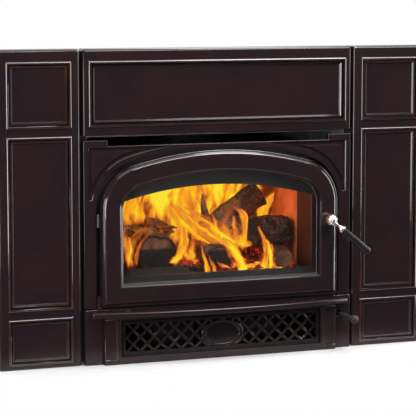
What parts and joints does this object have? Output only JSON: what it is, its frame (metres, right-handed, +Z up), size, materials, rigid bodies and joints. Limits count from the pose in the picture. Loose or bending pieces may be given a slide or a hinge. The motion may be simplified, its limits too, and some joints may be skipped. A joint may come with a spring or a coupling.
{
  "type": "wood-burning fireplace insert",
  "caption": "Cast-iron fireplace insert with an arched glass door, panelled surround, bowed ash lip, lattice grille, lever handle and a pull rod for air; logs burn in its brick-lined firebox.",
  "frame": {"origin": "on the hearth, in the middle of the insert's width, in the plane of the masonry face that the surround closes against", "axes": "+X to the viewer's right, the front faces -Y and +Z is up"},
  "size_m": [1.105, 0.572, 0.753],
  "materials": {
    "enamel": "dark brown porcelain enamel, semi-gloss, lighter on worn edges",
    "steel_hardware": "zinc-plated steel",
    "glass": "clear ceramic glass with a faint amber tint",
    "rope": "woven glass-fibre rope and tape",
    "nickel": "polished nickel plate",
    "black_grip": "black phenolic, satin",
    "black_steel": "matt black stove paint",
    "firebox_steel": "heat-dulled black steel with soot",
    "firebrick": "tan firebrick, sooty",
    "fibre_board": "pale refractory board",
    "galvanised": "galvanised sheet",
    "wheel_aluminium": "plain aluminium",
    "embers": "glowing charcoal and grey ash",
    "charred_wood": "split logs, charred bark and brown cut ends"
  },
  "bodies": {
    "insert": {"air_box": "black_steel", "airwash_manifold": "firebox_steel", "ash_lip": "enamel", "ash_lip_bolts": "steel_hardware", "baffle_board": "fibre_board", "base_pan": "galvanised", "blower_bracket": "black_steel", "blower_motor": "black_steel", "blower_scrolls": "galvanised", "burn_tubes": "firebox_steel", "casing_left": "galvanised", "casing_rear": "galvanised", "casing_right": "galvanised", "casing_top": "galvanised", "ember_bed": "embers", "face_plate": "black_steel", "firebox_floor": "firebox_steel", "firebox_left": "firebox_steel", "firebox_rear": "firebox_steel", "firebox_right": "firebox_steel", "firebox_supports": "firebox_steel", "firebox_top": "firebox_steel", "floor_bricks": "firebrick", "flue_collar": "firebox_steel", "front_casting": "enamel", "front_logs": "charred_wood", "grille_plaque": "enamel", "hinge_pins": "steel_hardware", "latch_keeper": "steel_hardware", "left_bricks": "firebrick", "left_column": "enamel", "lintel": "enamel", "log_retainer": "firebox_steel", "lower_casting": "enamel", "lower_grille": "enamel", "rear_bricks": "firebrick", "rear_logs": "charred_wood", "right_bricks": "firebrick", "right_column": "enamel", "rod_guide": "steel_hardware", "surround_bolts": "steel_hardware", "surround_brackets": "steel_hardware", "surround_spacers": "black_steel", "top_logs": "charred_wood"},
    "door": {"door_frame": "enamel", "door_glass": "glass", "glass_gasket": "rope", "glass_clips": "steel_hardware", "glass_clip_screws": "steel_hardware", "door_gasket": "rope"},
    "handle": {"handle_hub": "nickel", "handle_grip": "black_grip", "handle_spindle": "steel_hardware", "latch_cam": "steel_hardware", "spindle_nut": "steel_hardware"},
    "air_control": {"air_rod": "black_steel", "air_knob": "black_steel", "air_shutter": "black_steel"},
    "blower_rotor": {"blower_shaft": "steel_hardware", "blower_wheels": "wheel_aluminium"}
  },
  "joints": [
    {"name": "door_hinge", "type": "hinge", "parent": "insert", "child": "door", "pos_m": [-0.3095, -0.048, 0.25], "axis": [0, 0, -1], "range_deg": [0, 105]},
    {"name": "handle_turn", "type": "hinge", "parent": "door", "child": "handle", "pos_m": [0.279, -0.062, 0.327], "axis": [0, -1, 0], "range_deg": [0, 80]},
    {"name": "air_slide", "type": "slide", "parent": "insert", "child": "air_control", "axis": [0, 1, 0], "range_m": [0, 0.06]},
    {"name": "blower_spin", "type": "hinge", "parent": "insert", "child": "blower_rotor", "pos_m": [0, 0.045, 0.056], "axis": [1, 0, 0], "continuous": true}
  ]
}
